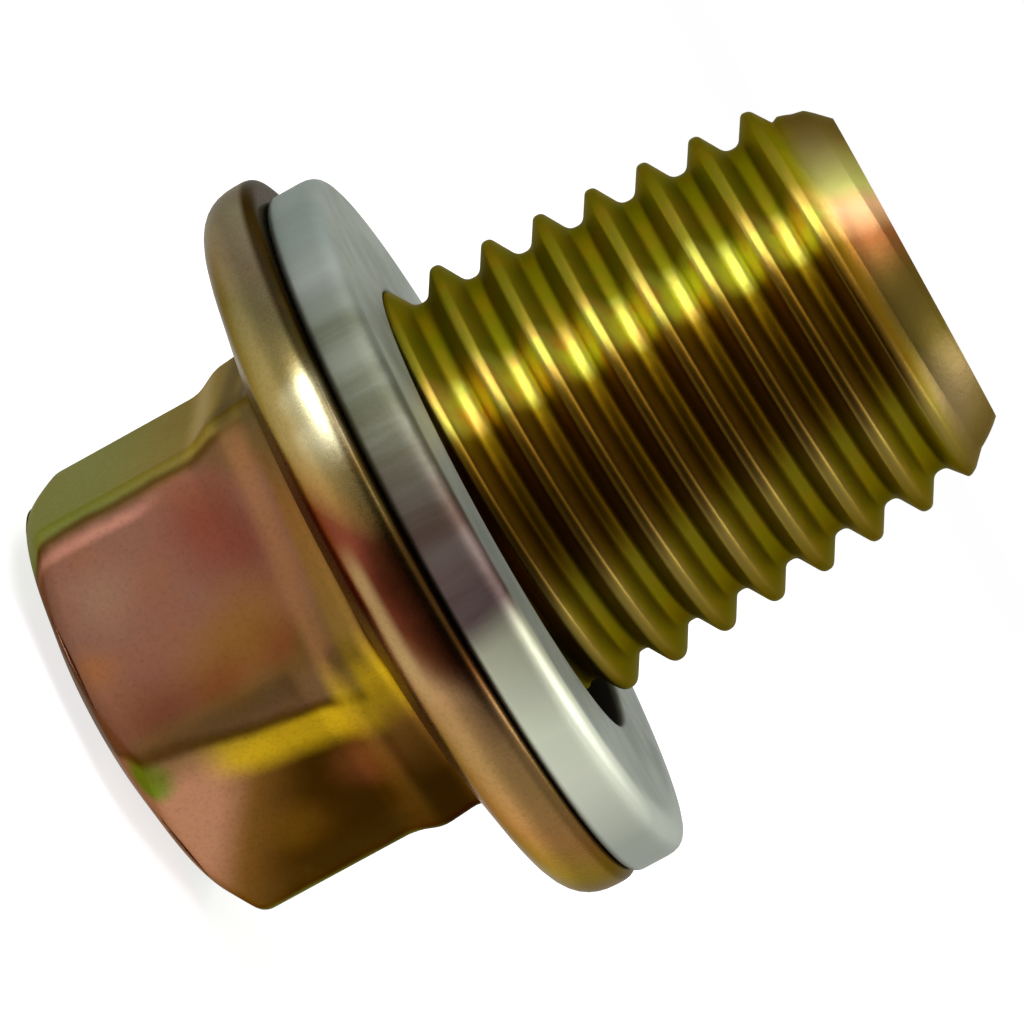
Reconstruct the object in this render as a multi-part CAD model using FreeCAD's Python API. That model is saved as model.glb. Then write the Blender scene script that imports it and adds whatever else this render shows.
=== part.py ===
import FreeCAD, Part
import math
import os

# Oil drain plug: a flanged hexagon head with a threaded shank, and a loose flat sealing washer.
# Millimetres and degrees. The plug stands on its head: Z = 0 is the small flat at the middle of the
# head's crowned end, and the axis of the thread is Z, pointing up to the tip of the shank.

Vector = FreeCAD.Vector
AXIS_Z = Vector(0, 0, 1)
AXIS_X = Vector(1, 0, 0)
ORIGIN = Vector(0, 0, 0)

# Hexagon head, with two corners on the X axis
hex_flats = 11.75
hex_corner_radius = 0.9
head_height = 10.25
head_face_diameter = 6.0
head_crown_angle = 14.0
head_crown_diameter = 11.2
head_chamfer_angle = 33.0

# Foot of the hexagon, a little larger all round where it runs into the flange
foot_step = 0.32
foot_height = 3.7
foot_run = 0.7
foot_overlap = 0.02

# Flange, forged in one with the head
flange_diameter = 20.8
flange_back_radius = 1.3
flange_rim_height = 0.6
flange_front_chamfer = 0.4
flange_slope = 13.4
flange_root_radius = 0.5
flange_collar_margin = 0.1

# Shank and thread; the diameter is over the crests where the thread begins, and it narrows from there
shank_length = 13.85
thread_diameter = 12.15
thread_pitch = 1.5
thread_depth = 0.64
thread_crest_width = 0.24
thread_flank_angle = 60.0
thread_taper = 2.6
thread_start_angle = 32.0
groove_overcut = 0.04
tip_face_diameter = 8.7
tip_chamfer_angle = 45.0

# Relief between the flange and the thread
relief_end_gap = 0.06
relief_undercut = 0.04

# Sealing washer; it has slipped sideways on the shank until it almost touches the crests
washer_width = 3.55
washer_thickness = 1.5
washer_edge_chamfer = 0.2
washer_clearance = 0.38
washer_side_gap = 0.02
washer_slip_angle = 196.5

# Heights and radii that follow from the sizes above
seat_height = head_height
tip_height = seat_height + shank_length
corner_centre = (hex_flats / 2 - hex_corner_radius) / math.cos(math.radians(30))
foot_corner = corner_centre + hex_corner_radius + foot_step
collar_radius = foot_corner + flange_root_radius + flange_collar_margin
thread_radius = thread_diameter / 2
thread_root = thread_radius - thread_depth
flank_slope = math.tan(math.radians(thread_flank_angle / 2))
groove_half_width = (thread_pitch - thread_crest_width) / 2
relief_length = 2 * (groove_half_width + relief_end_gap)
relief_radius = thread_root - relief_undercut


def thread_radius_at(height):
    """Crest radius of the tapering thread at a height above the seat of the flange."""
    return thread_radius - (height - relief_length) * math.tan(math.radians(thread_taper))


def arc_between(start, middle, end):
    """Circular edge through three points."""
    return Part.Arc(start, middle, end).toShape()


def around_axis(radius, angle, height):
    """Point at a radius and angle about Z, at a height."""
    return Vector(radius * math.cos(angle), radius * math.sin(angle), height)


def revolved(points_and_arcs):
    """Solid of revolution about Z from a closed outline of edges in the XZ plane."""
    wire = Part.Wire(points_and_arcs)
    return Part.Face(wire).revolve(ORIGIN, AXIS_Z, 360)


def outline(points):
    """Straight edges through radius and height pairs, in order."""
    corners = [Vector(radius, 0, height) for radius, height in points]
    return [Part.makeLine(a, b) for a, b in zip(corners, corners[1:])]


def closed_outline(points):
    """Closed outline of straight edges through radius and height pairs."""
    return outline(list(points) + [points[0]])


def soften(solid, radius, is_wanted):
    """Round the edges that a test picks."""
    edges = [edge for edge in solid.Edges if is_wanted(edge)]
    return solid.makeFillet(radius, edges)


def edge_middle(edge):
    """Point half way along an edge."""
    return edge.valueAt((edge.FirstParameter + edge.LastParameter) / 2)


def distance_from_axis(point):
    """Radius of a point about Z."""
    return math.hypot(point.x, point.y)


def hexagon_outline(growth, height):
    """Closed outline of the hexagon with round corners, grown outwards, at a height."""
    def on_corner(corner, turn):
        angle = math.radians(60 * corner)
        centre = around_axis(corner_centre, angle, height)
        return centre + around_axis(hex_corner_radius + growth, angle + math.radians(turn), 0)

    edges = []
    for corner in range(6):
        edges.append(arc_between(on_corner(corner, -30), on_corner(corner, 0), on_corner(corner, 30)))
        edges.append(Part.makeLine(on_corner(corner, 30), on_corner(corner + 1, -30)))
    return Part.Wire(edges)


def hexagon_bar(growth, bottom, top):
    """Hexagonal bar between two heights."""
    return Part.Face(hexagon_outline(growth, bottom)).extrude(AXIS_Z * (top - bottom))


def head_end_blank(height):
    """Turned blank that gives the head its end: a flat face, a shallow crown round it and a chamfer."""
    face_radius = head_face_diameter / 2
    crown_radius = head_crown_diameter / 2
    crown_height = (crown_radius - face_radius) * math.tan(math.radians(head_crown_angle))
    outer = hex_flats
    chamfer_height = (outer - crown_radius) * math.tan(math.radians(head_chamfer_angle))
    return revolved(closed_outline([
        (0, 0),
        (face_radius, 0),
        (crown_radius, crown_height),
        (outer, crown_height + chamfer_height),
        (outer, height),
        (0, height),
    ]))


def hexagon_head():
    """Hexagon with its crowned end, up to the seat of the flange."""
    return hexagon_bar(0, 0, seat_height).common(head_end_blank(seat_height))


def hexagon_foot():
    """Larger hexagon at the flange, with a sloping end that grows out of the flats."""
    full_size = seat_height - foot_height
    slope = [hexagon_outline(-foot_overlap, full_size - foot_run), hexagon_outline(foot_step, full_size)]
    sloping_end = Part.makeLoft(slope, True, True)
    return hexagon_bar(foot_step, full_size, seat_height).fuse(sloping_end).removeSplitter()


def flange_disc():
    """Flange with a flat collar round the hexagon, a sloping back, a round rim and a flat seat."""
    slope = math.radians(flange_slope)
    rim = flange_diameter / 2
    rim_height = seat_height - flange_rim_height

    def on_rim(angle):
        centre = rim - flange_back_radius
        return Vector(centre + flange_back_radius * math.cos(angle), 0,
                      rim_height + flange_back_radius * math.sin(angle))

    slope_end = on_rim(slope - math.pi / 2)
    collar_height = slope_end.z - (slope_end.x - collar_radius) * math.tan(slope)
    return revolved([
        *outline([(0, collar_height), (collar_radius, collar_height), (slope_end.x, slope_end.z)]),
        arc_between(slope_end, on_rim((slope - math.pi / 2) / 2), on_rim(0)),
        *outline([
            (rim, rim_height),
            (rim, seat_height - flange_front_chamfer),
            (rim - flange_front_chamfer, seat_height),
            (0, seat_height),
            (0, collar_height),
        ]),
    ])


def flanged_head():
    """Hexagon and flange as one forging, with a fillet where they meet."""
    forging = hexagon_head().fuse([hexagon_foot(), flange_disc()]).removeSplitter()

    def at_flange_root(edge):
        near_hexagon = distance_from_axis(edge_middle(edge)) < collar_radius - flange_root_radius
        level = edge.BoundBox.ZLength < flange_root_radius / 100
        return near_hexagon and level and seat_height - foot_height < edge.BoundBox.ZMin < seat_height

    return soften(forging, flange_root_radius, at_flange_root)


def shank_blank():
    """Turned shank before threading: relief, tapering body and chamfered tip."""
    tip_radius = tip_face_diameter / 2
    chamfer = math.tan(math.radians(tip_chamfer_angle))
    taper = math.tan(math.radians(thread_taper))
    crest_at_tip = thread_radius_at(shank_length)
    chamfer_length = (crest_at_tip - tip_radius) / (chamfer - taper)
    relief_top = seat_height + relief_length
    lead_in = thread_radius_at(relief_length) - relief_radius
    return revolved(closed_outline([
        (0, seat_height),
        (relief_radius, seat_height),
        (relief_radius, relief_top - lead_in),
        (thread_radius_at(relief_length), relief_top),
        (thread_radius_at(shank_length - chamfer_length), tip_height - chamfer_length),
        (tip_radius, tip_height),
        (0, tip_height),
    ]))


def thread_groove():
    """Right-hand helical groove with sloping flanks and a flat root, a little longer than the thread."""
    start = seat_height + groove_half_width + relief_end_gap
    overrun = thread_pitch
    turning = tip_height + overrun - start
    small_root = thread_radius_at(shank_length + overrun) - thread_depth
    path = Part.makeLongHelix(thread_pitch, turning, small_root, thread_taper)
    root_half_width = groove_half_width - thread_depth * flank_slope
    flank_end = small_root + thread_depth + groove_overcut
    end_half_width = groove_half_width + groove_overcut * flank_slope
    outside = flank_end + thread_depth
    section = closed_outline([
        (small_root, -root_half_width),
        (small_root, root_half_width),
        (flank_end, end_half_width),
        (outside, end_half_width),
        (outside, -end_half_width),
        (flank_end, -end_half_width),
    ])
    sweep = Part.BRepOffsetAPI.MakePipeShell(Part.Wire(path.Edges))
    sweep.setBiNormalMode(AXIS_Z)
    sweep.add(Part.Wire(section))
    sweep.build()
    sweep.makeSolid()
    groove = sweep.shape()
    groove.rotate(ORIGIN, AXIS_X, 180)
    groove.translate(AXIS_Z * (tip_height + overrun))
    turns_above_start = turning / thread_pitch
    groove.rotate(ORIGIN, AXIS_Z, thread_start_angle + 360 * turns_above_start)
    return groove


def plug_body():
    """Head, flange and threaded shank, all one piece of steel."""
    shank = shank_blank().cut(thread_groove())
    return flanged_head().fuse(shank).removeSplitter()


def sealing_washer():
    """Flat ring that lies on the seat of the flange, off centre by its play on the thread."""
    bore = thread_radius + washer_clearance
    outer = bore + washer_width
    slip = washer_clearance - washer_side_gap
    ring = revolved(closed_outline([
        (bore, 0),
        (outer - washer_edge_chamfer, 0),
        (outer, washer_edge_chamfer),
        (outer, washer_thickness - washer_edge_chamfer),
        (outer - washer_edge_chamfer, washer_thickness),
        (bore, washer_thickness),
    ]))
    direction = math.radians(washer_slip_angle)
    ring.translate(Vector(slip * math.cos(direction), slip * math.sin(direction), seat_height))
    return ring


os.makedirs("parts", exist_ok=True)
plug_body().exportStep("parts/plug_body.step")
sealing_washer().exportStep("parts/sealing_washer.step")
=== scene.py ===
import bmesh
import bpy
import math
from mathutils import Matrix, Vector


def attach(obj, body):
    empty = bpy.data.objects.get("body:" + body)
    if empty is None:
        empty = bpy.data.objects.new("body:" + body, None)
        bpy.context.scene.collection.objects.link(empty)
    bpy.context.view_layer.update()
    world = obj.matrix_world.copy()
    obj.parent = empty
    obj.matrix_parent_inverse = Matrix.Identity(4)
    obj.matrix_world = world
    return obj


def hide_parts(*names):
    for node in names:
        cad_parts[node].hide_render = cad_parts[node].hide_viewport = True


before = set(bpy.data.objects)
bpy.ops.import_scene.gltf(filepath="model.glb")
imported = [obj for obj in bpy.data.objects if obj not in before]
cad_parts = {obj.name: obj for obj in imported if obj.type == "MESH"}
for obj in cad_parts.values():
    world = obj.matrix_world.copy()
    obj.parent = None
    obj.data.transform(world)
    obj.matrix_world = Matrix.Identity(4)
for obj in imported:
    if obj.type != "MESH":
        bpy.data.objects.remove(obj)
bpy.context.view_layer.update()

MM = 0.001

# Heights above the floor, in millimetres; the plug stands on its head, tip up
SEAT = 10.25
TIP = 24.099

# Hexagon head and flange, in millimetres
HEX_FLATS = 11.75
HEX_CORNER_RADIUS = 0.9
CORNER_CENTRE = (HEX_FLATS / 2 - HEX_CORNER_RADIUS) / math.cos(math.radians(30))
FACE_RADIUS = 3.0
CROWN_RADIUS = 5.6
CROWN_SLOPE = math.tan(math.radians(14))
CHAMFER_SLOPE = math.tan(math.radians(33))
FOOT_STEP = 0.32
FOOT_START = SEAT - 4.4
FOOT_FULL = SEAT - 3.7
COLLAR_RADIUS = 7.565
COLLAR_HEIGHT = SEAT - 2.302
RIM_RADIUS = 10.394
RIM_BACK = SEAT - 1.627

# The forged hexagon sits a little off the thread's axis, most at its end, in millimetres
HEX_OFFSET = 0.19
HEX_OFFSET_ANGLE = math.radians(196.5)

# Shank and thread, in millimetres
RELIEF_RADIUS = 5.395
THREAD_START = SEAT + 1.38
LEAD_IN_START = SEAT + 0.70
CREST_RADIUS = 6.075
THREAD_DEPTH = 0.66
PITCH = 1.5
ROOT_FLAT = 0.38
CREST_FLAT = 0.24
TAPER = math.tan(math.radians(2.6))
GROOVE_AT_START = SEAT + 0.6017
TIP_CHAMFER_RADIUS = 4.4
TIP_EASE = 0.9
RUN_OUT_RADIUS = 5.2
RUN_OUT_START = TIP - 1.25
RUN_OUT_SLOPE = 0.8
LEAD_IN_BLEND = 0.06
RUN_OUT_BLEND = 0.15
CREST_GROWTH = 0.06

# Sealing washer, in millimetres; it has slipped sideways on the shank
WASHER_BORE = 6.455
WASHER_OUTER = 10.005
WASHER_THICKNESS = 1.5
WASHER_SLIP = 0.36
WASHER_SLIP_ANGLE = math.radians(196.5)

# Steps round the axis of each turned piece, and turns of thread before it is trimmed
HEAD_STEPS = 216
THREAD_STEPS = 160
THREAD_TURNS = 12
WASHER_STEPS = 192
SCREEN_STEPS = 96
CORNER_CROWDING = 0.72

# The plug in the photograph: its axis leans towards the camera and rises to the right, and the plug is
# turned about it, in degrees; the middle of the seat is off the picture's middle, in millimetres
AXIS_LEAN = 5.55
AXIS_RISE = 28.72
PLUG_TURN = -16.5
SEAT_IN_VIEW = (-1.6570, -0.2876)
CAMERA_DISTANCE = 120
CAMERA_LENS = 161.0


def rounded_path(corners, points_each):
    """Points of a path whose corners are eased; a corner is (across, up, ease length)."""
    path = []
    last = len(corners) - 1
    for number, (across, up, ease) in enumerate(corners):
        here = Vector((across, up))
        if number in (0, last) or ease == 0:
            path.append(here)
            continue
        back = Vector(corners[number - 1][:2]) - here
        ahead = Vector(corners[number + 1][:2]) - here
        start = here + back.normalized() * ease
        end = here + ahead.normalized() * ease
        for step in range(points_each):
            s = step / (points_each - 1)
            path.append(start * (1 - s) ** 2 + here * (2 * s * (1 - s)) + end * s ** 2)
    return path


def soft_min(a, b, blend):
    """The smaller of two lengths, with a smooth change from one to the other."""
    near = max(blend - abs(a - b), 0) / blend
    return min(a, b) - near * near * blend / 4


def finished_piece(name, mesh_builder, finish):
    """Object at the origin from a bmesh, with smooth faces and a finish."""
    mesh = bpy.data.meshes.new(name)
    for face in mesh_builder.faces:
        face.smooth = True
    mesh_builder.to_mesh(mesh)
    mesh_builder.free()
    piece = bpy.data.objects.new(name, mesh)
    bpy.context.scene.collection.objects.link(piece)
    mesh.materials.append(finish)
    return piece


def hexagon_radius(angle):
    """Radius of the hexagon with round corners, in the direction of an angle."""
    off_corner = abs((angle + math.pi / 6) % (math.pi / 3) - math.pi / 6)
    round_end = math.atan2(
        HEX_CORNER_RADIUS * math.sin(math.pi / 6),
        CORNER_CENTRE + HEX_CORNER_RADIUS * math.cos(math.pi / 6))
    if off_corner > round_end:
        return HEX_FLATS / 2 / math.cos(math.pi / 6 - off_corner)
    reach = CORNER_CENTRE * math.sin(off_corner)
    return CORNER_CENTRE * math.cos(off_corner) + math.sqrt(HEX_CORNER_RADIUS ** 2 - reach ** 2)


def head_section(angle):
    """Half section of head and flange in the direction of an angle, from the end face to the seat."""
    flat = hexagon_radius(angle)
    foot = flat + FOOT_STEP
    crown_height = (CROWN_RADIUS - FACE_RADIUS) * CROWN_SLOPE
    chamfer_height = crown_height + (flat - CROWN_RADIUS) * CHAMFER_SLOPE
    return rounded_path([
        (0, 0, 0),
        (FACE_RADIUS, 0, 0.9),
        (CROWN_RADIUS, crown_height, 0.25),
        (flat, chamfer_height, 0.3),
        (flat, FOOT_START, 0.3),
        (foot, FOOT_FULL, 0.25),
        (foot, COLLAR_HEIGHT, 0.5),
        (COLLAR_RADIUS, COLLAR_HEIGHT, 0.3),
        (RIM_RADIUS, RIM_BACK, 1.027),
        (RIM_RADIUS, SEAT, 0.4),
        (FACE_RADIUS, SEAT, 0.5),
        (0, SEAT, 0),
    ], 9)


def turned_rings(rings, steps):
    """A flat disc of rings, one apart, spun round Z from a row of points."""
    work = bmesh.new()
    row = [work.verts.new((ring, 0, 0)) for ring in range(rings)]
    edges = [work.edges.new(pair) for pair in zip(row, row[1:])]
    bmesh.ops.spin(
        work, geom=row + edges, cent=(0, 0, 0), axis=(0, 0, 1), dvec=(0, 0, 0),
        angle=2 * math.pi, steps=steps, use_merge=True, use_duplicate=False)
    bmesh.ops.remove_doubles(work, verts=work.verts, dist=0.01)
    return work


def close_to_corners(angle):
    """An even angle moved so that the steps are finer near the hexagon's corners."""
    return angle - CORNER_CROWDING * math.sin(6 * angle) / 6


def forged_head(finish):
    """Hexagon head and flange: the rings of a disc laid along the section of each direction."""
    work = turned_rings(len(head_section(0)), HEAD_STEPS)
    sections = {}
    for vert in work.verts:
        ring = round(math.hypot(vert.co.x, vert.co.y))
        step = round(math.atan2(vert.co.y, vert.co.x) / (2 * math.pi) * HEAD_STEPS) % HEAD_STEPS
        if ring == 0:
            vert.co = (0, 0, 0)
            continue
        angle = close_to_corners(step / HEAD_STEPS * 2 * math.pi)
        if step not in sections:
            sections[step] = head_section(angle)
        across, up = sections[step][ring]
        share = min(max((COLLAR_HEIGHT - up) / (COLLAR_HEIGHT - FOOT_START), 0), 1) * HEX_OFFSET
        vert.co = MM * Vector((across * math.cos(angle) + share * math.cos(HEX_OFFSET_ANGLE),
                               across * math.sin(angle) + share * math.sin(HEX_OFFSET_ANGLE), up))
    bmesh.ops.remove_doubles(work, verts=work.verts, dist=0.0001 * MM)
    bmesh.ops.recalc_face_normals(work, faces=work.faces)
    return finished_piece("forged_head", work, finish)


def thread_path():
    """Section of one turn of the thread, from the middle of one groove to the next."""
    flank = (PITCH - ROOT_FLAT - CREST_FLAT) / 2
    root = CREST_RADIUS - THREAD_DEPTH
    first = ROOT_FLAT / 2
    return rounded_path([
        (root, 0, 0),
        (root, first, 0.16),
        (CREST_RADIUS, first + flank, 0.1),
        (CREST_RADIUS, first + flank + CREST_FLAT, 0.1),
        (root, PITCH - first, 0.16),
        (root, PITCH, 0),
    ], 6)


def lead_in_radius(height):
    """Radius that the thread's beginning keeps within, at a height."""
    return RELIEF_RADIUS + max(height - LEAD_IN_START, 0)


def shank_radius(across, height):
    """Radius of a point of the thread's section at a height, tapered and trimmed at both ends."""
    above_washer = min(max((height - SEAT - WASHER_THICKNESS) / PITCH, 0), 1)
    crest_share = (across - CREST_RADIUS + THREAD_DEPTH) / THREAD_DEPTH
    grown = across + CREST_GROWTH * above_washer * crest_share
    tapered = grown - max(height - THREAD_START, 0) * TAPER
    led_in = soft_min(tapered, lead_in_radius(height), LEAD_IN_BLEND)
    run_out = RUN_OUT_RADIUS - max(RUN_OUT_START - height, 0) * RUN_OUT_SLOPE
    filled = -soft_min(-led_in, -run_out, RUN_OUT_BLEND)
    return soft_min(filled, TIP_CHAMFER_RADIUS + TIP - height, TIP_EASE)


def threaded_shank(finish):
    """Shank with a right-hand thread: its section swept one turn up the helix, then trimmed."""
    start = GROOVE_AT_START - 2 * PITCH
    work = bmesh.new()
    row = [work.verts.new((across, 0, start + turn * PITCH + up))
           for turn in range(THREAD_TURNS) for across, up in thread_path()[:-1]]
    edges = [work.edges.new(pair) for pair in zip(row, row[1:])]
    bmesh.ops.spin(
        work, geom=row + edges, cent=(0, 0, 0), axis=(0, 0, 1), dvec=(0, 0, PITCH / THREAD_STEPS),
        angle=2 * math.pi, steps=THREAD_STEPS, use_merge=False, use_duplicate=False)
    bmesh.ops.remove_doubles(work, verts=work.verts, dist=0.002)
    for vert in work.verts:
        across = math.hypot(vert.co.x, vert.co.y)
        wanted = shank_radius(across, vert.co.z)
        vert.co.x *= wanted / across
        vert.co.y *= wanted / across
    for height, outward in ((SEAT - 0.4, -1), (TIP, 1)):
        cut = bmesh.ops.bisect_plane(
            work, geom=work.verts[:] + work.edges[:] + work.faces[:],
            plane_co=(0, 0, height), plane_no=(0, 0, outward), clear_outer=True)
        rim = [item for item in cut["geom_cut"] if isinstance(item, bmesh.types.BMEdge)]
        bmesh.ops.contextual_create(work, geom=rim)
        for edge in rim:
            edge.smooth = False
    bmesh.ops.transform(work, matrix=Matrix.Scale(MM, 4), verts=work.verts)
    bmesh.ops.recalc_face_normals(work, faces=work.faces)
    return finished_piece("threaded_shank", work, finish)


def crush_washer(finish):
    """Flat washer with eased edges, spun round its own axis and slipped to its place."""
    work = bmesh.new()
    section = rounded_path([
        (WASHER_BORE, WASHER_THICKNESS / 2, 0),
        (WASHER_BORE, 0, 0.12),
        (WASHER_OUTER, 0, 0.25),
        (WASHER_OUTER, WASHER_THICKNESS, 0.55),
        (WASHER_BORE, WASHER_THICKNESS, 0.12),
        (WASHER_BORE, WASHER_THICKNESS / 2, 0),
    ], 7)
    row = [work.verts.new((across, 0, up)) for across, up in section]
    edges = [work.edges.new(pair) for pair in zip(row, row[1:])]
    bmesh.ops.spin(
        work, geom=row + edges, cent=(0, 0, 0), axis=(0, 0, 1), dvec=(0, 0, 0),
        angle=2 * math.pi, steps=WASHER_STEPS, use_merge=True, use_duplicate=False)
    bmesh.ops.remove_doubles(work, verts=work.verts, dist=0.001)
    bmesh.ops.transform(work, matrix=Matrix.Scale(MM, 4), verts=work.verts)
    slip = Vector((math.cos(WASHER_SLIP_ANGLE), math.sin(WASHER_SLIP_ANGLE), 0)) * WASHER_SLIP * MM
    bmesh.ops.translate(work, vec=slip + Vector((0, 0, SEAT * MM)), verts=work.verts)
    bmesh.ops.recalc_face_normals(work, faces=work.faces)
    return finished_piece("crush_washer", work, finish)


class Value:
    """One output of a shader node; arithmetic on it adds Math nodes."""

    def __init__(self, surface, output):
        self.surface = surface
        self.output = output

    def _math(self, operation, *values):
        return self.surface.node("Math", {"operation": operation}, dict(enumerate(values)))

    def __add__(self, other):
        return self._math("ADD", self, other)

    __radd__ = __add__

    def __sub__(self, other):
        return self._math("SUBTRACT", self, other)

    def __rsub__(self, other):
        return self._math("SUBTRACT", other, self)

    def __mul__(self, other):
        return self._math("MULTIPLY", self, other)

    __rmul__ = __mul__

    def __truediv__(self, other):
        return self._math("DIVIDE", self, other)

    def __rtruediv__(self, other):
        return self._math("DIVIDE", other, self)


class Surface:
    """The nodes of a material or a world, with one method that adds any node to them."""

    def __init__(self, owner):
        self.owner = owner
        owner.use_nodes = True
        self.tree = owner.node_tree
        self.tree.nodes.clear()

    def node(self, kind, settings=None, values=None, output=0):
        """A node of a kind, its settings first and then its sockets' values or links."""
        made = self.tree.nodes.new("ShaderNode" + kind)
        for key, setting in (settings or {}).items():
            if key == "stops":
                ramp = made.color_ramp.elements
                while len(ramp) < len(setting):
                    ramp.new(1)
                for element, (position, shade) in zip(ramp, setting):
                    element.position = position
                    element.color = shade
            else:
                setattr(made, key, setting)
        for key, value in (values or {}).items():
            socket = made.inputs[key]
            if isinstance(value, Value):
                self.tree.links.new(value.output, socket)
            else:
                socket.default_value = value
        return Value(self, made.outputs[output]) if made.outputs else None

    def between(self, low, high, value):
        """Smooth step from 0 at the low value to 1 at the high one."""
        return self.node("MapRange", {"interpolation_type": "SMOOTHSTEP"},
                         {"Value": value, "From Min": low, "From Max": high})

    def blend(self, share, first, second):
        """The first colour where the share is 0 and the second where it is 1."""
        return self.node("Mix", {"data_type": "RGBA"}, {0: share, 6: first, 7: second}, 2)

    def grain(self, place, scale, detail=3, roughness=0.55, stretch=(1, 1, 1)):
        """Noise with its middle at a half, at a number of cells per millimetre."""
        spread = self.node("VectorMath", {"operation": "MULTIPLY"}, {0: place, 1: stretch})
        return self.node("TexNoise", {}, {"Vector": spread, "Scale": scale / MM, "Detail": detail,
                                          "Roughness": roughness})

    def patch(self, place, middle, reach, edge):
        """1 round a point, given in millimetres, easing to 0 over the edge of the patch."""
        centre = tuple(part * MM for part in middle)
        away = self.node("VectorMath", {"operation": "DISTANCE"}, {0: place, 1: centre}, "Value")
        return 1 - self.between((reach - edge) * MM, (reach + edge) * MM, away)

    def round_the_axis(self, turn, stops):
        """Colours that follow each other round the axis; a stop is (degrees, colour)."""
        return self.node("ValToRGB", {"stops": [(angle / 360, shade) for angle, shade in stops]},
                         {"Fac": turn})

    def facing(self, ray, angle, half_width, edge):
        """1 within a half width of a direction round the axis, easing to 0 over the edge, in degrees."""
        towards = (math.cos(math.radians(angle)), math.sin(math.radians(angle)), 0)
        closeness = self.node("VectorMath", {"operation": "DOT_PRODUCT"}, {0: ray, 1: towards}, "Value")
        return self.between(
            math.cos(math.radians(half_width + edge)), math.cos(math.radians(half_width)), closeness)


def colour(red, green, blue):
    """Shader colour from the usual 0 to 255 levels."""
    def linear(level):
        part = level / 255
        return part / 12.92 if part <= 0.04045 else ((part + 0.055) / 1.055) ** 2.4

    return (linear(red), linear(green), linear(blue), 1)


OLIVE = colour(125, 132, 66)
OLIVE_BROWN = colour(176, 148, 74)
FOOT_OLIVE = colour(78, 70, 43)
GOLD = colour(146, 128, 74)
PALE_GOLD_HIGHLIGHT = colour(255, 250, 205)
YELLOW = colour(204, 166, 26)
MAUVE = colour(118, 82, 66)
ROSE = colour(124, 80, 62)
PEACH = colour(142, 98, 60)
RED_BROWN = colour(112, 54, 38)
MAROON_SHADE = colour(68, 26, 15)
AMBER = colour(122, 82, 34)
ORANGE = colour(142, 88, 44)
BROWN = colour(62, 38, 4)
GREEN = colour(112, 128, 42)
TAN = colour(178, 126, 94)
RIDGE_HIGHLIGHT = colour(176, 150, 98)

# Paper sweep that the metal mirrors: brightness of the paper, how much the card takes from it and the
# strip adds to it, and the directions of both round the axis, in degrees
PAPER_LEVEL = 0.6
CARD_LOSS = 0.56
STRIP_GAIN = 7.5
STRIP_DIRECTION = 59
CARD_DIRECTION = 122

# Edges of the hexagon's middle face, in degrees round the axis; the lower one leans, in degrees per
# millimetre of height, and the foot's ridge rises by a slope in millimetres per degree
UPPER_EDGE = 63.2
LOWER_EDGE_START = 117.5
LOWER_EDGE_LEAN = 2.0
RIDGE_RISE = 1 / 150

# The film colours of the flange lean too: degrees per millimetre, round a height
FLANGE_LEAN = 9
FLANGE_HEIGHT = 9.3


def axis_fields(surface):
    """Object coordinates, direction round the axis, radius and height in millimetres."""
    place = surface.node("TexCoord", {}, {}, "Object")
    flat = surface.node("VectorMath", {"operation": "MULTIPLY"}, {0: place, 1: (1, 1, 0)})
    ray = surface.node("VectorMath", {"operation": "NORMALIZE"}, {0: flat})
    radius = surface.node("VectorMath", {"operation": "LENGTH"}, {0: flat}, "Value") / MM
    height = surface.node("SeparateXYZ", {}, {0: place}, "Z") / MM
    return place, ray, radius, height


def turn_round_axis(surface, place):
    """Share of a full turn round the axis, from 0 to 1, starting on the X axis."""
    across = surface.node("SeparateXYZ", {}, {0: place}, "X")
    along = surface.node("SeparateXYZ", {}, {0: place}, "Y")
    angle = surface.node("Math", {"operation": "ARCTAN2"}, {0: along, 1: across}) / (2 * math.pi)
    return surface.node("Math", {"operation": "FRACT"}, {0: angle + 1})


def wandering(surface, place, scale, amount):
    """Object coordinates moved about by noise, by up to an amount in millimetres, for uneven edges."""
    push = surface.node("TexNoise", {}, {"Vector": place, "Scale": scale / MM, "Detail": 2}, "Color")
    centred = surface.node("VectorMath", {"operation": "SUBTRACT"}, {0: push, 1: (0.5, 0.5, 0.5)})
    moved = surface.node("VectorMath", {"operation": "SCALE"}, {0: centred, "Scale": 2 * amount * MM})
    return surface.node("VectorMath", {"operation": "ADD"}, {0: place, 1: moved})


def metal(surface, base, roughness, bump, edge_tint):
    """Metal with a base colour, a roughness, a bump height in millimetres and a tint at its rim."""
    normal = surface.node("Bump", {}, {"Strength": 1.0, "Distance": MM, "Height": bump})
    shader = surface.node("BsdfPrincipled", {}, {
        "Base Color": base, "Metallic": 1.0, "Roughness": roughness, "Normal": normal,
        "Specular Tint": edge_tint})
    surface.node("OutputMaterial", {}, {"Surface": shader})
    return surface.owner


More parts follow.
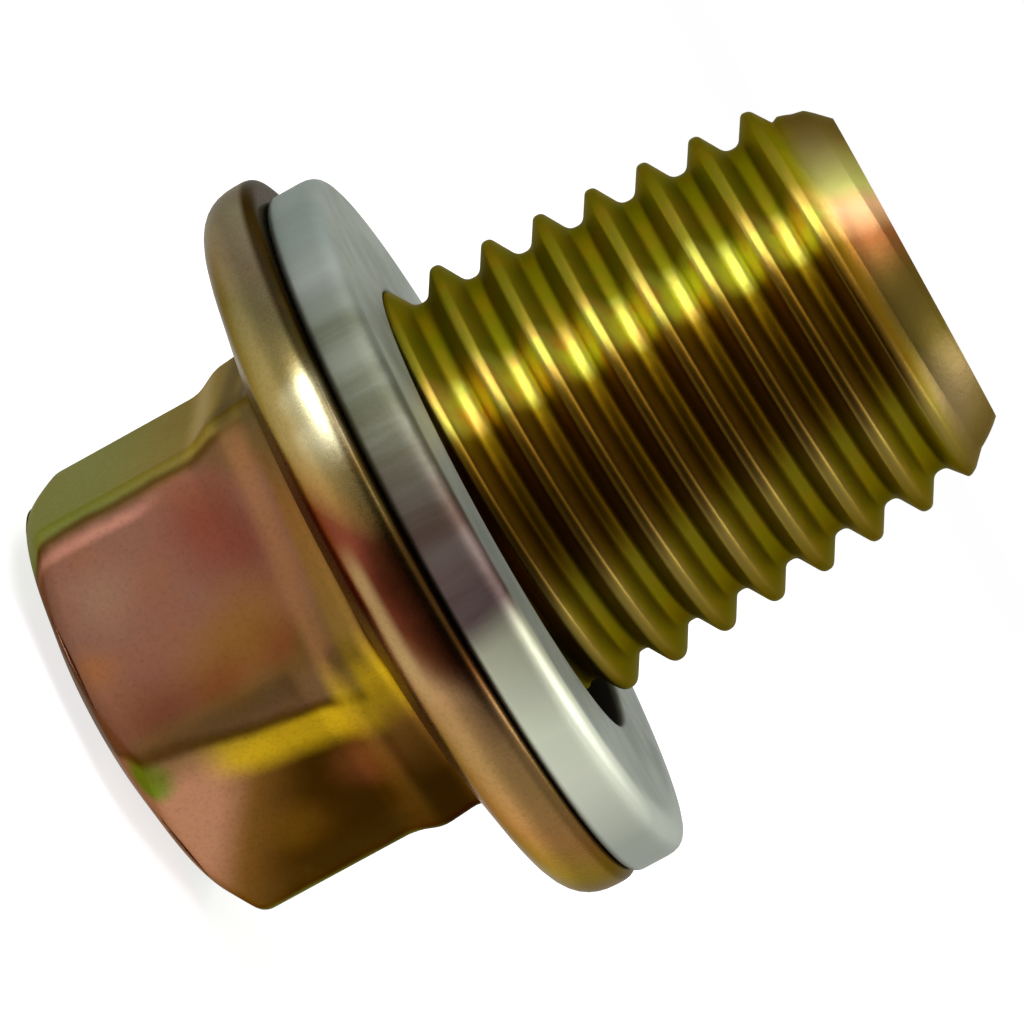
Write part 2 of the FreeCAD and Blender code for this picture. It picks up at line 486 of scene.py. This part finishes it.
# Patches of film colour on the hexagon: middle and reach in millimetres, softness, share and colour
HEX_PATCHES = (
    ((1.3, 5.9, 5.4), 1.0, 1.0, 0.8, RED_BROWN),
    ((0.2, 5.9, 6.0), 0.9, 0.9, 0.7, RED_BROWN),
    ((-1.9, 5.9, 5.2), 1.2, 1.0, 0.9, AMBER),
    ((-2.3, 5.9, 3.9), 0.9, 0.9, 0.6, AMBER),
    ((-0.7, 5.9, 1.2), 0.4, 0.6, 0.8, ORANGE),
    ((-3.1, 5.9, 6.6), 0.4, 0.5, 0.8, RED_BROWN),
    ((-2.9, 5.9, 2.3), 1.1, 1.0, 0.9, colour(94, 50, 34)),
    ((-2.8, 5.9, 4.0), 0.7, 0.8, 0.8, colour(104, 52, 22)),
    ((-2.7, 5.9, 6.0), 0.7, 0.8, 0.8, colour(104, 52, 22)),
    ((0.9, 5.9, 2.2), 0.7, 0.8, 0.5, colour(140, 108, 84)),
    ((4.6, -4.4, 2.2), 1.2, 0.9, 0.7, AMBER),
    ((-1.0, -5.9, 4.0), 1.3, 1.0, 0.7, AMBER),
    ((1.8, -5.9, 1.6), 0.9, 0.7, 0.6, ORANGE),
    ((5.2, -3.0, 5.4), 1.0, 0.8, 0.6, OLIVE),
    ((-4.6, -3.4, 3.0), 1.5, 1.2, 0.6, OLIVE_BROWN),
)

# The same on the hexagon's third face
THIRD_FACE_PATCHES = (
    ((-5.1, 2.8, 6.2), 0.8, 0.7, 0.85, colour(120, 64, 34)),
    ((-5.6, 1.9, 3.4), 0.7, 0.7, 0.5, colour(122, 82, 20)),
    ((-3.7, 5.3, 1.0), 0.7, 0.3, 1.0, GREEN),
)

# Patches on the flange: a painted highlight in pale gold round 82° to 88° on the rim, and painted shade
# in maroon, a dark reflection on the rim round 107° to 120°
FLANGE_PAINTED_LIGHT_PATCHES = (
    ((1.5, 10.2, 9.95), 0.5, 0.6, 0.9, PALE_GOLD_HIGHLIGHT),
    ((0.4, 10.3, 9.95), 0.6, 0.6, 0.9, PALE_GOLD_HIGHLIGHT),
    ((-3.1, 9.9, 9.9), 0.5, 0.5, 0.9, MAROON_SHADE),
    ((-3.7, 9.7, 9.8), 1.0, 0.6, 1.0, MAROON_SHADE),
    ((-5.2, 9.0, 9.9), 1.0, 0.6, 0.95, MAROON_SHADE),
)


def zinc_on_head():
    """Yellow zinc passivate on the head and flange, its film colours drifting from face to face; painted
    highlights beside the hexagon's upper edge, on its foot ridge, and on the flange's back and rim, and
    painted shade on the flange's rim and in its joint with the washer.
    """
    surface = Surface(bpy.data.materials.new("yellow_zinc_head"))
    place, ray, radius, height = axis_fields(surface)
    loose = wandering(surface, place, 0.6, 0.3)
    turn = turn_round_axis(surface, wandering(surface, place, 0.8, 0.12)) * 360
    cloud = surface.grain(place, 0.45, 3)
    fine = surface.grain(place, 9, 3, 0.6)

    def painted(base, patches):
        for middle, reach, edge, share, shade in patches:
            base = surface.blend(surface.patch(loose, middle, reach, edge) * share, base, shade)
        return base

    def line(edge, width):
        """1 along a line of a direction round the axis, fading over a width in degrees."""
        rising = surface.between(edge - width, edge, turn)
        return rising * (1 - surface.between(edge, edge + width, turn))

    lower_edge = LOWER_EDGE_START + LOWER_EDGE_LEAN * height
    back_faces = surface.round_the_axis(turn / 360, [
        (0, OLIVE), (178, OLIVE), (182, OLIVE), (238, OLIVE), (242, ROSE), (298, ROSE), (302, TAN),
        (356, TAN), (360, OLIVE)])
    top_face = surface.blend(surface.between(2.4, 6.6, height) * 0.8, back_faces, OLIVE_BROWN)
    middle_face = painted(surface.blend(surface.between(0.35, 0.7, cloud), MAUVE, ROSE), HEX_PATCHES)
    below_edge = turn - lower_edge
    shade_line = height + (below_edge - 15) * 0.06
    third_face = surface.blend(surface.between(2.3, 3.6, shade_line), TAN, AMBER)
    third_face = surface.blend(surface.between(2.9, 5.0, shade_line), third_face, BROWN)
    golden = (1 - surface.between(7, 16, below_edge)) * surface.between(2.2, 3.4, height)
    third_face = surface.blend(golden * 0.9, third_face, YELLOW)
    third_face = painted(third_face, THIRD_FACE_PATCHES)
    base = surface.blend(
        surface.between(UPPER_EDGE - 1.5, UPPER_EDGE + 1.5, turn), top_face, middle_face)
    base = surface.blend(surface.between(lower_edge - 1.5, lower_edge + 1.5, turn), base, third_face)
    base = surface.blend(surface.between(178, 182, turn), base, painted(back_faces, HEX_PATCHES[10:]))
    # The hexagon's rounded corners darker, most on the side towards 90°.
    darker_corner = surface.between(6.3, 6.65, radius) * surface.facing(ray, 90, 40, 60)
    base = surface.blend(darker_corner * 0.5, base, colour(84, 74, 30))
    end_fade = surface.between(0.5, 1.3, height)
    base = surface.blend(line(UPPER_EDGE, 2.4) * end_fade * 0.8, base, BROWN)
    base = surface.blend(line(lower_edge, 3.2) * end_fade * 0.85, base, BROWN)
    # Painted highlight: a thin light pink line beside the middle face's upper edge.
    painted_highlight_line = line(UPPER_EDGE + 3.6, 2.2) * end_fade * (1 - surface.between(3.5, 5, height))
    base = surface.blend(painted_highlight_line * 0.5, base, colour(190, 130, 110))

    # Painted highlight: a peach band along the rounded edge between the hexagon and its foot, where it
    # faces about 68° to 118°; elsewhere the band takes the foot's film colours.
    on_ridge = height + (turn - 90) * RIDGE_RISE
    ridge = surface.between(6.35, 6.8, on_ridge) * (1 - surface.between(6.95, 7.35, on_ridge))
    ridge_highlight_colours = surface.round_the_axis(turn / 360, [
        (0, FOOT_OLIVE), (60, FOOT_OLIVE), (68, PEACH), (118, PEACH), (128, YELLOW), (145, AMBER),
        (180, BROWN), (240, OLIVE), (300, PEACH), (360, FOOT_OLIVE)])
    on_hexagon = 1 - surface.between(6.9, 7.3, radius)
    base = surface.blend(ridge * on_hexagon * 0.6, base, ridge_highlight_colours)
    foot = surface.round_the_axis(turn / 360, [
        (0, FOOT_OLIVE), (62, FOOT_OLIVE), (85, AMBER), (116, colour(132, 100, 42)), (128, YELLOW),
        (145, AMBER), (165, BROWN), (200, BROWN), (240, OLIVE), (300, GOLD), (360, FOOT_OLIVE)])
    on_foot = surface.between(7.05, 7.45, on_ridge)
    base = surface.blend(on_foot * 0.9, base, foot)

    flange = surface.round_the_axis((turn - (height - FLANGE_HEIGHT) * FLANGE_LEAN) / 360, [
        (0, colour(162, 150, 124)), (36, colour(174, 166, 138)), (52, colour(138, 124, 98)),
        (64, colour(118, 108, 70)), (80, GOLD), (92, colour(160, 138, 84)), (97, colour(150, 116, 62)),
        (103, RED_BROWN), (118, RED_BROWN), (125, colour(164, 126, 86)), (142, colour(156, 122, 72)),
        (158, colour(178, 130, 78)), (175, colour(186, 160, 76)), (230, GOLD), (290, PEACH),
        (330, OLIVE), (360, colour(162, 150, 124))])
    flange = painted(flange, FLANGE_PAINTED_LIGHT_PATCHES)
    # Painted highlight: a light line along the flange's rounded back, from about 101° to 132°.
    back_ridge_highlight = surface.between(8.55, 8.75, height) * (1 - surface.between(8.85, 9.15, height))
    ridge_highlight_reach = surface.between(101, 108, turn) * (1 - surface.between(120, 132, turn))
    flange = surface.blend(back_ridge_highlight * ridge_highlight_reach * 0.6, flange, RIDGE_HIGHLIGHT)
    on_flange = surface.between(7.3, 8.1, radius)
    # Painted shade in the joint between flange and washer, deepest round 50° where the gap is widest.
    painted_joint_shade_share = surface.facing(ray, 50, 50, 50) * 0.45 + 0.45
    painted_joint_shade = surface.between(SEAT - 0.42, SEAT - 0.22, height) * painted_joint_shade_share
    base = surface.blend(on_flange, base, surface.blend(painted_joint_shade, flange, colour(42, 34, 12)))
    base = surface.blend(surface.between(0.4, 0.7, cloud) * 0.15, base, AMBER)
    end_face = (1 - surface.between(2.6, 5.2, radius)) * (1 - surface.between(1, 1.6, height))
    base = surface.blend(end_face, base, surface.blend(
        surface.between(0.4, 0.65, cloud), colour(134, 112, 66), ROSE))
    base = surface.blend(surface.between(0.45, 0.75, fine) * 0.16, base, BROWN)
    bump = fine * 0.003 + cloud * 0.02
    roughness = 0.4 - on_flange * 0.12 + (fine - 0.5) * 0.15
    return metal(surface, base, roughness, bump, (0.42, 0.38, 0.33, 1))


def zinc_on_thread():
    """Yellow zinc passivate on the shank, olive with browner grooves; a painted highlight streak round
    81°, a browner side round 112° with painted shade, and painted glints and shade on the tip land.
    """
    surface = Surface(bpy.data.materials.new("yellow_zinc_thread"))
    place, ray, radius, height = axis_fields(surface)
    drift = surface.grain(place, 0.9, 4)
    fine = surface.grain(place, 9, 3, 0.6)
    up_thread = surface.node("Math", {"operation": "MAXIMUM"}, {0: height - THREAD_START, 1: 0})
    tall = radius + up_thread * TAPER
    crest = surface.between(CREST_RADIUS - 0.22, CREST_RADIUS - 0.03, tall)
    base = surface.blend(surface.between(0.4, 0.65, drift), colour(132, 128, 16), colour(146, 128, 24))
    base = surface.blend(surface.facing(ray, 286, 50, 60), base, colour(146, 124, 58))
    base = surface.blend(surface.facing(ray, 155, 20, 16) * 0.6, base, colour(134, 116, 26))
    # Browner film colour with painted shade, darker round 112°; the crests there are painted darker too.
    brown_film_and_painted_shade = surface.facing(ray, 112, 9, 24)
    base = surface.blend(brown_film_and_painted_shade * 0.9, base, colour(108, 72, 5))
    # Painted highlight: a pale yellow streak round 81°, where the light strip is reflected.
    painted_highlight_colour = surface.blend(surface.between(0.42, 0.6, drift), colour(205, 208, 90), colour(210, 172, 84))
    base = surface.blend(surface.facing(ray, 81, 2, 9) * 0.55, base, painted_highlight_colour)
    # Crests paler tan, most round 150°.
    paler_crest = crest * (surface.facing(ray, 150, 14, 22) * 0.4 + 0.2)
    base = surface.blend(paler_crest, base, colour(146, 122, 70))
    base = surface.blend(crest * brown_film_and_painted_shade * 0.8, base, colour(70, 46, 4))
    turn = turn_round_axis(surface, wandering(surface, place, 0.6, 0.25))
    # Tip land: khaki film colours, with painted pale green and pink glints round 74° to 82° and painted
    # shade, darker, from 92° to 128°.
    tip_land_with_painted_light = surface.round_the_axis(turn, [
        (0, colour(118, 100, 58)), (50, colour(132, 112, 76)), (74, colour(160, 160, 90)),
        (82, colour(176, 132, 100)), (92, colour(108, 62, 36)), (106, colour(76, 62, 26)),
        (128, colour(82, 72, 32)), (146, colour(134, 114, 80)), (185, colour(144, 122, 84)),
        (286, colour(128, 108, 58)), (360, colour(118, 100, 58))])
    base = surface.blend(surface.between(TIP - 1.6, TIP - 0.9, height) * 0.9, base, tip_land_with_painted_light)
    end_face = (1 - surface.between(3.4, 4.3, radius)) * surface.between(TIP - 0.6, TIP - 0.2, height)
    base = surface.blend(end_face, base, surface.blend(
        surface.between(0.35, 0.65, drift), colour(134, 118, 62), colour(142, 112, 70)))
    lathe_rings = surface.node("Math", {"operation": "SINE"}, {0: radius * 42}) * end_face
    bump = fine * 0.002 + drift * 0.02 + lathe_rings * 0.0015
    return metal(surface, base, 0.38 + (fine - 0.5) * 0.12, bump, (0.3, 0.28, 0.08, 1))


def soft_aluminium():
    """Stamped soft aluminium of the washer, with faint streaks, painted reflections round its rim, and
    painted shade in its bore and at its joint with the flange.
    """
    surface = Surface(bpy.data.materials.new("soft_aluminium"))
    place, ray, radius, height = axis_fields(surface)
    turn = turn_round_axis(surface, wandering(surface, place, 0.5, 0.3))
    streak = surface.grain(place, 0.8, 4, 0.6, (1, 1, 0.12))
    fine = surface.grain(place, 12, 3, 0.6)
    # Painted reflections round the rim and outer face: dark from about 72° to 120°, pale from 125° to
    # 170°.
    painted_rim_reflections = surface.round_the_axis(turn, [
        (0, colour(150, 160, 152)), (49, colour(142, 154, 146)), (60, colour(150, 156, 148)),
        (72, colour(92, 96, 80)), (84, colour(82, 84, 68)), (93, colour(88, 86, 68)),
        (103, colour(88, 74, 62)), (112, colour(104, 80, 74)), (120, colour(100, 78, 76)),
        (125, colour(205, 206, 178)),
        (140, colour(240, 246, 222)), (152, colour(230, 234, 214)), (170, colour(186, 192, 178)),
        (240, colour(165, 172, 164)), (300, colour(178, 184, 176)), (360, colour(150, 160, 152))])
    cloud = surface.grain(place, 0.5, 4, 0.6)
    face = surface.blend(
        surface.between(0.35, 0.65, cloud), colour(146, 152, 140), colour(164, 170, 158))
    base = surface.blend(surface.between(9.0, 9.7, radius), face, painted_rim_reflections)
    base = surface.blend(surface.between(0.35, 0.65, streak) * 0.1, base, colour(205, 210, 204))
    # Painted shade in the joint against the flange, along the washer's back outer edge.
    painted_joint_shade = (1 - surface.between(SEAT + 0.06, SEAT + 0.24, height)) * surface.between(9.4, 9.6, radius)
    base = surface.blend(painted_joint_shade * 0.75, base, colour(54, 52, 40))
    below_face = 1 - surface.between(SEAT + 1.25, SEAT + 1.42, height)
    # Painted shade in the bore, where the gap round the shank falls dark.
    painted_bore_shade = (1 - surface.between(7, 7.4, radius)) * below_face
    base = surface.blend(painted_bore_shade * 0.9, base, colour(40, 37, 32))
    return metal(surface, base, 0.52 + (fine - 0.5) * 0.15, fine * 0.003 + streak * 0.006,
                 (0.7, 0.7, 0.7, 1))


def white_for_the_eye(surface):
    """1 for rays from the camera and for those that reflections and glass send on."""
    path = surface.node("LightPath")
    tree_node = path.output.node
    seen = [Value(surface, tree_node.outputs[label]) for label in (
        "Is Camera Ray", "Is Glossy Ray", "Is Transmission Ray")]
    first = surface.node("Math", {"operation": "MAXIMUM"}, {0: seen[0], 1: seen[1]})
    return surface.node("Math", {"operation": "MAXIMUM"}, {0: first, 1: seen[2]})


def pale_floor():
    """Plain pale floor that keeps a soft shadow and is white to the eye."""
    surface = Surface(bpy.data.materials.new("pale_floor"))
    seen = white_for_the_eye(surface)
    matt = surface.node("BsdfDiffuse", {}, {"Color": (0.4, 0.4, 0.4, 1)})
    glow = surface.node("Emission", {}, {"Color": (1, 1, 1, 1), "Strength": seen * 0.75})
    both = surface.node("AddShader", {}, {0: matt, 1: glow})
    surface.node("OutputMaterial", {}, {"Surface": both})
    work = bmesh.new()
    bmesh.ops.create_grid(work, x_segments=1, y_segments=1, size=3)
    finished_piece("floor", work, surface.owner)


def reflection_screen():
    """Paper sweep that only the plug's metal sees: pale, with one bright strip and one dark card."""
    surface = Surface(bpy.data.materials.new("reflection_screen"))
    place, ray, radius, height = axis_fields(surface)
    near = surface.between(22, 40, radius) * (1 - surface.between(60, 100, height))
    on_wall = surface.between(60, 72, radius)
    strip = surface.facing(ray, STRIP_DIRECTION, 2, 8) * on_wall
    card = surface.facing(ray, CARD_DIRECTION, 24, 28) * on_wall
    level = (PAPER_LEVEL - card * CARD_LOSS) + strip * STRIP_GAIN
    glow = surface.node("Emission", {}, {"Color": (1, 1, 1, 1), "Strength": 1 + (level - 1) * near})
    surface.node("OutputMaterial", {}, {"Surface": glow})
    work = bmesh.new()
    outline = [work.verts.new((across * MM, 0, up * MM))
               for across, up in ((22, 0.3), (75, 0.3), (75, 110))]
    edges = [work.edges.new(pair) for pair in zip(outline, outline[1:])]
    bmesh.ops.spin(
        work, geom=outline + edges, cent=(0, 0, 0), axis=(0, 0, 1), dvec=(0, 0, 0),
        angle=2 * math.pi, steps=SCREEN_STEPS, use_merge=True, use_duplicate=False)
    screen = finished_piece("reflection_screen", work, surface.owner)
    screen.visible_camera = False
    screen.visible_diffuse = False
    screen.visible_transmission = False
    screen.visible_volume_scatter = False
    screen.visible_shadow = False


def studio_world():
    """World that is white to the eye and lights the rest evenly."""
    world = bpy.data.worlds.new("studio")
    bpy.context.scene.world = world
    surface = Surface(world)
    seen = white_for_the_eye(surface)
    level = 0.6 + seen * 0.4
    sky = surface.node("Background", {}, {"Color": (1, 1, 1, 1), "Strength": level})
    surface.node("OutputWorld", {}, {"Surface": sky})


def soft_light(name, direction, rise, distance, size, power):
    """Area light that faces the plug from a direction round the axis and a rise above the floor."""
    lamp = bpy.data.lights.new(name, "AREA")
    lamp.shape = "RECTANGLE"
    lamp.size, lamp.size_y = size
    lamp.energy = power
    light = bpy.data.objects.new(name, lamp)
    bpy.context.scene.collection.objects.link(light)
    angle, up = math.radians(direction), math.radians(rise)
    target = Vector((0, 0, 15 * MM))
    away = Vector((math.cos(angle) * math.cos(up), math.sin(angle) * math.cos(up), math.sin(up)))
    light.location = target + away * distance
    light.rotation_euler = away.to_track_quat("Z", "Y").to_euler()
    light.visible_camera = False


def photo_camera():
    """Camera at the photograph's place: close, almost level with the seat, and rolled."""
    lean, rise, turn = (math.radians(angle) for angle in (AXIS_LEAN, AXIS_RISE, PLUG_TURN))
    axis = Vector((math.cos(lean) * math.cos(rise), math.cos(lean) * math.sin(rise), math.sin(lean)))
    top = Vector((-math.sin(rise), math.cos(rise), 0))
    near = axis.cross(top)
    x_seen = top * math.cos(turn) + near * math.sin(turn)
    y_seen = near * math.cos(turn) - top * math.sin(turn)
    to_world = Matrix((x_seen, y_seen, axis))
    seat_in_view = Vector((*SEAT_IN_VIEW, 0)) * MM
    distance = CAMERA_DISTANCE * MM
    data = bpy.data.cameras.new("camera")
    data.lens = CAMERA_LENS
    data.clip_start = 0.01
    data.clip_end = 20
    camera = bpy.data.objects.new("camera", data)
    bpy.context.scene.collection.objects.link(camera)
    place = Vector((0, 0, SEAT * MM)) + to_world @ (Vector((0, 0, distance)) - seat_in_view)
    camera.matrix_world = Matrix.Translation(place) @ to_world.to_4x4()
    bpy.context.scene.camera = camera


photo_camera()

head = forged_head(zinc_on_head())
shank = threaded_shank(zinc_on_thread())
washer = crush_washer(soft_aluminium())
for piece in (head, shank):
    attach(piece, "root")
    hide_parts("plug_body")
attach(washer, "root")
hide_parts("sealing_washer")

pale_floor()
reflection_screen()
studio_world()
soft_light("key_light", direction=60, rise=50, distance=0.5, size=(0.3, 0.3), power=2)
soft_light("fill_light", direction=200, rise=50, distance=0.5, size=(0.3, 0.3), power=1)
bpy.context.scene.view_settings.view_transform = "Standard"
